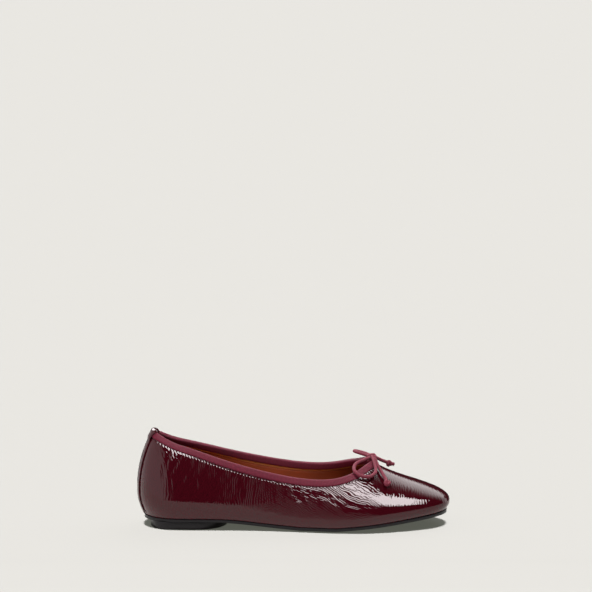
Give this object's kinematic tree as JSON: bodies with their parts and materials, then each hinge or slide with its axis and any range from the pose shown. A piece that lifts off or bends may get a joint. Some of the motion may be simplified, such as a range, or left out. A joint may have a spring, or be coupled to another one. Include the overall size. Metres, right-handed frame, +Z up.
{
  "type": "ballet flat",
  "caption": "Round-toed ballet flat with a hollow upper, bound topline, cord bow, thin sole with toe spring and a low heel.",
  "frame": {"origin": "on the floor, in the middle of the heel's resting face", "axes": "+X towards the toe, +Z up, outer side of a right shoe towards -Y"},
  "size_m": [0.2506, 0.08, 0.0777],
  "materials": {
    "patent": "burgundy crinkled patent leather, high gloss",
    "tape": "burgundy grosgrain, matte",
    "cord": "burgundy round cord, matte",
    "lining": "tan lining leather, satin",
    "sole": "black sole, satin edge"
  },
  "bodies": {
    "root": {"outsole": "sole", "heel": "sole", "insole": "lining", "upper": "patent", "topline_binding": "tape", "heel_strip": "patent", "bow_knot": "cord", "bow_loop_near": "cord", "bow_loop_far": "cord", "bow_tail_near": "cord", "bow_tail_far": "cord", "bow_tip_near": "cord", "bow_tip_far": "cord"}
  },
  "joints": []
}
